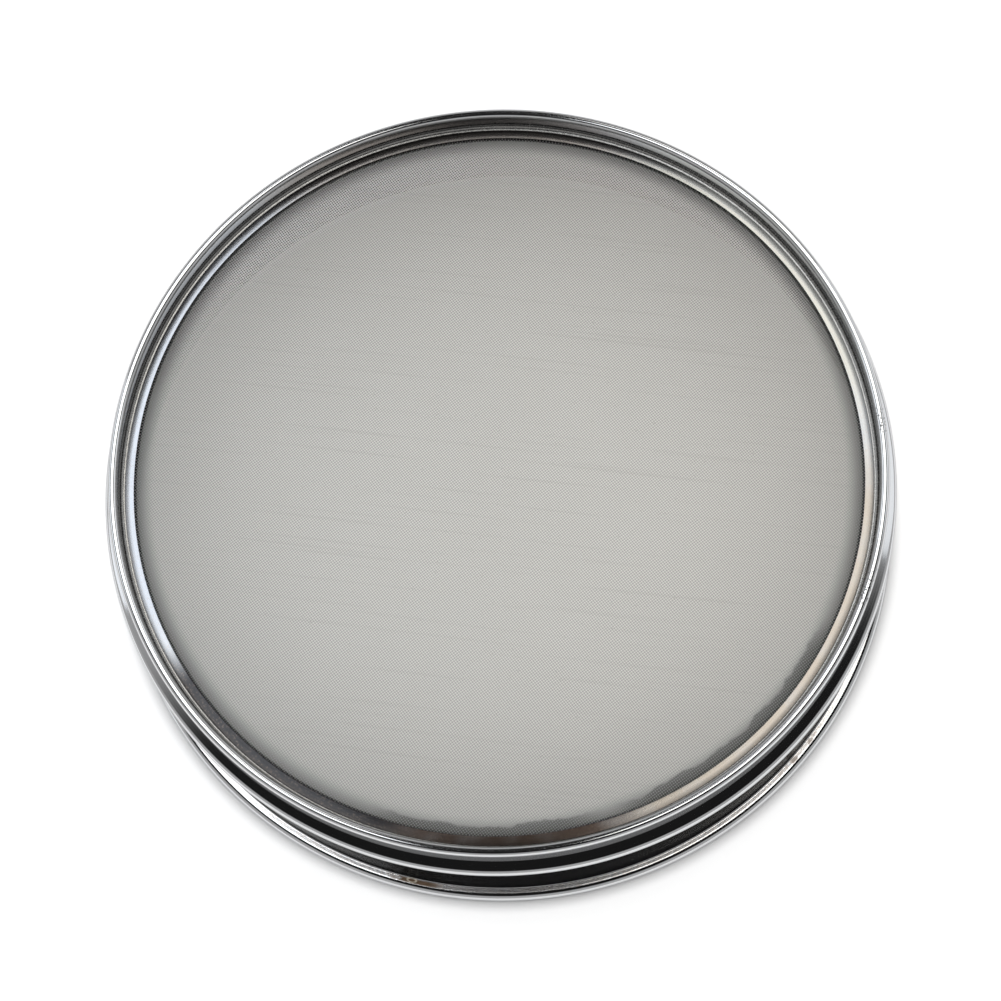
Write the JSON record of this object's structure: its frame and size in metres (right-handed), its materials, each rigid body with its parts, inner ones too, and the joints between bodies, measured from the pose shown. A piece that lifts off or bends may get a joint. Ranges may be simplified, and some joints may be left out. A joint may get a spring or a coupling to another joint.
{
  "type": "test sieve",
  "caption": "Laboratory test sieve: spun steel frame with rolled rim, stop bead and skirt, and woven wire cloth held by a clamp ring, standing on its rim.",
  "frame": {"origin": "centre of the flat ring on which the rolled rim rests, at the bottom of the sieve as it stands skirt up", "axes": "+Z is the sieve's axis, from the body's mouth towards the skirt"},
  "size_m": [0.208, 0.208, 0.047],
  "materials": {
    "polished_steel": "polished, with faint turning marks, heat tint and nicks",
    "plain_steel": "plain mill finish",
    "woven_wire": "plain woven stainless wire, 0.59 mm from wire to wire",
    "tinted_steel": "satin, with brown heat tint in places",
    "solder": "wiped solder, slightly uneven"
  },
  "bodies": {
    "root": {"frame": "polished_steel", "seat_ring": "plain_steel", "wire_cloth": "woven_wire", "clamp_ring": "tinted_steel", "solder_fillet": "solder"}
  },
  "joints": []
}
